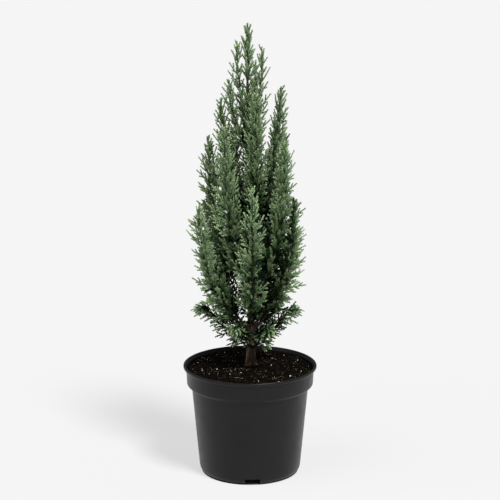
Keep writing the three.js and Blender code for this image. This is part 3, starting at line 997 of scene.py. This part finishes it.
def side_shoots(parents, rule, start, rng):
    """Shoots to the left and right by turns along parents from start on, in the plane of their spray."""
    room = parents["length"] - start - rule["free"]
    owner, number = counted(np.maximum(0, np.ceil(room / rule["step"])).astype(int))
    count = len(owner)
    place = start[owner] + (number + rng.uniform(*SHOOT_JITTER["place"], count)) * rule["step"]
    s = np.minimum(place, parents["length"][owner] - rule["free"])
    root, along = curve_at(parents, owner, s)
    face = square_to(along, parents["face"][owner])
    side = np.cross(along, face) * np.where(number % 2 == 0, 1, -1)[:, None]
    tilt = rng.normal(0, rule["tilt"], count)[:, None]
    angle = np.radians(rule["angle"] * rng.uniform(*SHOOT_JITTER["angle"], count))[:, None]
    sideways = side * np.cos(tilt) + face * np.sin(tilt)
    way = along * np.cos(angle) + sideways * np.sin(angle)
    ahead = parents["length"][owner] - s - rule["lead"]
    length = rule["share"] * ahead * rng.uniform(*SHOOT_JITTER["length"], count)
    return {
        "root": root, "way": way, "end_way": normalised(way + rule["curve"] * along),
        "length": np.clip(length, rule["least"], rule["most"]),
        "face": normalised(face * np.cos(tilt) - side * np.sin(tilt)),
        "plume": parents["plume"][owner], "owner": owner, "over": parents["over"][owner],
    }


def fitted(shoots):
    """The shoots that stay in their plume's space, shortened where they have to be."""
    share = np.zeros(len(shoots["length"]))
    for trial in FIT_SHARES:
        half = (shoots["way"] + shoots["end_way"]) / 2
        tips = shoots["root"] + half * (shoots["length"] * trial)[:, None]
        for plume in PLUMES:
            mine = np.flatnonzero((shoots["plume"] == plume.index) & (share == 0))
            limit = shoots["over"][mine] / 2 + REACH_OVER
            share[mine] = np.where(fitting(tips[mine], plume, limit), trial, 0)
    return picked({**shoots, "length": shoots["length"] * share}, share > 0)


def rolled(twigs, rng):
    """Twigs whose sprays stand out from the stem like vanes, each rolled a little either way."""
    way = twigs["way"]
    face = square_to(way, twigs["face"])
    spread = rng.uniform(-SPRAY_ROLL["most"], SPRAY_ROLL["most"], len(way))
    roll = np.radians(SPRAY_ROLL["middle"] + spread)[:, None]
    return {**twigs, "face": face * np.cos(roll) + np.cross(way, face) * np.sin(roll)}


def tones_of(shoots, spray_tone, rng):
    """The colour number of each shoot: by spray, with painted light towards the plume's outside and the top,
    and painted shade towards the trunk and in the grooves between plumes.
    """
    tips = shoots["root"] + shoots["way"] * shoots["length"][:, None]
    depth, past = np.empty(len(tips)), np.empty(len(tips))
    for plume in PLUMES:
        mine = np.flatnonzero(shoots["plume"] == plume.index)
        own, past[mine] = reaching(tips[mine], plume)
        depth[mine] = own / plume.spread
    spread = np.array([plume.spread for plume in PLUMES])[shoots["plume"]]
    # Painted shade in the grooves between plumes and towards the trunk, most of all low down; painted light
    # further out.
    groove = np.exp(np.minimum(0, past) / (GROOVE_WIDTH * spread))
    edge = np.interp(tips[:, 2], *np.array(CROWN).T)
    crown = np.hypot(tips[:, 0], tips[:, 1]) / edge - CROWN_MIDDLE
    shade = TONE["crown"] * crown + TONE["groove"] * groove
    shade = shade * np.interp(tips[:, 2], CROWN_OPEN, (1, 0))
    # Painted shade deep inside each plume and low down, painted light out from its stem and with height.
    height = (tips[:, 2] - POT_HEIGHT) / (LEADER["tip"] - POT_HEIGHT)
    tone = TONE["base"] + TONE["depth"] * depth + TONE["height"] * height + shade
    tone = tone + spray_tone + rng.normal(0, TONE["shoot"], len(tips))
    return np.clip(tone, 0, TONE_MOST)


def grow():
    """Twigs, their side shoots and the fingers on those, as three sets of shoots."""
    rng = np.random.default_rng(SEED)
    twigs = rolled(joined([twigs_of(plume) for plume in PLUMES]), rng)
    shoots = fitted(side_shoots(twigs, SHOOT, twigs["bare"] * twigs["length"], rng))
    first = np.full(len(shoots["length"]), FINGER["first"])
    fingers = fitted(side_shoots(shoots, FINGER, first, rng))
    plume_tone = rng.normal(0, TONE["plume"], len(PLUMES))
    spray_tone = plume_tone[twigs["plume"]] + rng.normal(0, TONE["twig"], len(twigs["length"]))
    withered = rng.random(len(spray_tone)) < WITHERED_SHARE
    owner = shoots["owner"]
    twigs["tone"] = tones_of(twigs, spray_tone, rng)
    shoots["tone"] = tones_of(shoots, spray_tone[owner], rng)
    dry = withered[owner] & (shoots["tone"] < WITHERED_BELOW)
    shoots["tone"] = np.where(dry, WITHERED, shoots["tone"])
    fingers["tone"] = shoots["tone"][fingers["owner"]]
    return twigs, shoots, fingers


def leaves_on(shoots, order, rng):
    """Crossed pairs of folded scale leaves along shoots: four points and two faces a leaf."""
    step, size = LEAF_STEPS[order], LEAF_LENGTHS[order]
    bare = shoots["bare"] * shoots["length"] if order == 0 else np.zeros(len(shoots["length"]))
    counts = np.maximum(1, np.ceil((shoots["length"] - bare) / step).astype(int))
    owner, number = counted(counts)
    s = np.minimum(bare[owner] + (number + LEAF_FIRST) * step, shoots["length"][owner])
    root, along = curve_at(shoots, owner, s)
    face = square_to(along, shoots["face"][owner])
    side = np.cross(along, face)
    share = s / shoots["length"][owner]
    taper = 1 - LEAF_SHAPE["taper"] * share**2
    turn = (number % 2) * np.pi / 2 + rng.normal(0, LEAF_JITTER["turn"], len(owner))
    made = []
    for half in (0, np.pi):
        out = face * np.cos(turn + half)[:, None] + side * np.sin(turn + half)[:, None]
        angle = np.radians(LEAF_SHAPE["angle"] * rng.uniform(*LEAF_JITTER["angle"], len(owner)))[:, None]
        length = (size * taper * rng.uniform(*LEAF_JITTER["length"], len(owner)))[:, None]
        way = along * np.cos(angle) + out * np.sin(angle)
        back = out * np.cos(angle) - along * np.sin(angle)
        across = np.cross(way, back)
        heel = root + out * LEAF_SHAPE["root"]
        belly = heel + way * length * LEAF_SHAPE["belly"] - back * length * LEAF_SHAPE["fold"]
        wide = across * length * LEAF_SHAPE["width"] / 2
        made.append(np.stack([heel, belly + wide, heel + way * length, belly - wide], axis=1))
    points = np.stack(made, axis=1).reshape(-1, 4, 3)
    tone = shoots["tone"][owner]
    # Paler towards each shoot's tip: partly its paler new growth, partly painted shade at the foot of the
    # spray.
    paler = lerp(*TONE_ALONG[order], share) + rng.normal(0, LEAF_JITTER["tone"], len(owner))
    dealt = np.where(tone == WITHERED, WITHERED, np.clip(np.round(tone + paler), 0, WITHERED - 1))
    return points, np.repeat(dealt.astype(int), 2), np.repeat(shoots["plume"][owner], 2)


def leaf_groups():
    """The plumes whose leaves are joined into one piece, by the piece's name."""
    groups = {}
    for plume in PLUMES:
        part = "top" if plume.name in ("leader", "crest") else plume.name
        if part in ("middle", "lower"):
            part += "_a" if plume.number % 2 else "_b"
        groups.setdefault(f"leaves_{part}", []).append(plume)
    return groups


def make_leaves(*orders):
    """The leaves of twigs, side shoots and fingers, joined into pieces."""
    rng = np.random.default_rng(SEED + 5)
    grown = [leaves_on(shoots, order, rng) for order, shoots in enumerate(orders)]
    points, tones, owners = (np.concatenate(column) for column in zip(*grown))
    halves = np.array([[0, 1, 2], [0, 2, 3]])
    for name, members in leaf_groups().items():
        mine = np.isin(owners, [plume.index for plume in members])
        first = 4 * np.arange(mine.sum())[:, None, None]
        faces = (first + halves).reshape(-1, 3)
        dealt = np.repeat(tones[mine], 2)
        piece = mesh_object(name, points[mine].reshape(-1, 3), faces, LEAF_LOOKS, dealt, smooth=False)
        nodes = [f"foliage_{p.name}_{p.number}" if p.number else f"foliage_{p.name}" for p in members]
        dressed(piece, "foliage", *nodes)


def shoot_tubes(shoots, start, end, root, tip, rings=6, sides=4):
    """Thin tubes along shoots from one share of their length to another."""
    count = len(shoots["length"])
    t = np.linspace(0, 1, rings)
    share = lerp(np.broadcast_to(start, count)[:, None], end, t)
    owner = np.repeat(np.arange(count), rings)
    line, _ = curve_at(shoots, owner, share.ravel() * shoots["length"][owner])
    radii = lerp(root, tip, np.tile(t, (count, 1)))
    return tube_points(line.reshape(count, rings, 3), radii, sides), ring_faces(count, rings, sides)


def plume_stems(start, end, root, tip, rings=16, sides=8):
    """Tubes along the plumes' lines, from one share of each leafy stretch to another."""
    lines = []
    for plume, first, last in zip(PLUMES, start, end):
        lines.append(on_plume(plume, lerp(plume.share, 1, np.linspace(first, last, rings))))
    thick = [BOUGH["tip_radius"] if plume.number else TRUNK["tip_radius"] for plume in PLUMES]
    radii = np.array(thick)[:, None] * np.linspace(root, tip, rings)
    return tube_points(np.array(lines), radii, sides), ring_faces(len(lines), rings, sides)


def merged(*parts):
    first = np.cumsum([0] + [len(points) for points, _ in parts])
    faces = [faces + start for (_, faces), start in zip(parts, first)]
    return np.concatenate([points for points, _ in parts]), np.concatenate(faces)


def make_stems(twigs):
    """The plumes' stems and the feet of twigs, in bark, and the green stems among leaves."""
    foot = np.zeros(len(PLUMES))
    green_from = np.array([0 if plume.share == 0 else STEM["green_from"] for plume in PLUMES])
    bare = twigs["bare"]
    brown_end = bare[:, None] + TWIG_STEM["overlap"]
    brown = merged(
        plume_stems(foot, green_from, STEM["foot"], STEM["green"]),
        shoot_tubes(twigs, 0, brown_end, TWIG_STEM["foot"], TWIG_STEM["brown_tip"]),
    )
    green = merged(
        plume_stems(green_from, foot + STEM["end"], STEM["green"], STEM["tip"]),
        shoot_tubes(twigs, bare, TWIG_STEM["end"], TWIG_STEM["green"], TWIG_STEM["tip"]),
    )
    dressed(mesh_object("twigs", *brown, [TWIG_LOOK]), "bark")
    dressed(mesh_object("green_stems", *green, [LEAF_LOOKS[1]]), "foliage")


TWIGS, SHOOTS, FINGERS = grow()
make_leaves(TWIGS, SHOOTS, FINGERS)
make_stems(TWIGS)


# Stage


FLOOR_SURFACE = {
    "Base Color": (0.22, 0.22, 0.22, 1), "Emission Color": (1, 1, 1, 1), "Roughness": 0.9,
    "Specular IOR Level": 0.1,
}


def make_floor():
    """A round floor that glows as if lit from below like a studio table, painted light that lifts the shadows
    on it, but not on the place that the pot stands on.
    """
    dark = WALL_FOOT_RADIUS - FLOOR_DARK_INSET
    outline = np.array([(LATHE_START, 0), (dark, 0), (FLOOR_REACH / MM, 0)])
    points = lathe_points(outline, POT_SEGMENTS)
    faces = ring_faces(1, len(outline), POT_SEGMENTS)
    glows = {"floor_under_pot": 0, "floor": FLOOR_GLOW}
    looks = [plain(name, {**FLOOR_SURFACE, "Emission Strength": glow}) for name, glow in glows.items()]
    dealt = np.repeat([0, 1], POT_SEGMENTS)
    mesh_object("floor", points, faces, looks, dealt, smooth=False)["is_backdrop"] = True


def make_light(name, place, angle, power):
    """A broad soft light, as even as a studio's, from the side that place lies on."""
    data = bpy.data.lights.new(name, "SUN")
    data.angle = math.radians(angle)
    data.energy = power
    lamp = bpy.data.objects.new(name, data)
    lamp.location = place
    lamp.rotation_euler = (-Vector(place)).to_track_quat("-Z", "Y").to_euler()
    bpy.context.scene.collection.objects.link(lamp)


def make_camera():
    data = bpy.data.cameras.new("camera")
    data.lens = CAMERA["lens"]
    data.sensor_width = CAMERA["sensor"]
    data.clip_end = CAMERA["clip"]
    camera = bpy.data.objects.new("camera", data)
    camera.location = CAMERA["place"]
    camera.rotation_euler = (math.radians(90 - CAMERA["pitch"]), 0, 0)
    bpy.context.scene.collection.objects.link(camera)
    bpy.context.scene.camera = camera


def make_world():
    world = bpy.data.worlds.new("studio")
    world.use_nodes = True
    set_inputs(world.node_tree.nodes["Background"], {"Color": (1, 1, 1, 1), "Strength": WORLD_STRENGTH})
    bpy.context.scene.world = world
    bpy.context.scene.view_settings.view_transform = "Standard"


make_floor()
for light in LIGHTS:
    make_light(**light)
make_camera()
make_world()

boxes = {"cad": CAD_BOX, "visual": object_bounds()}
{key: [list(corner) for corner in box] for key, box in boxes.items()}
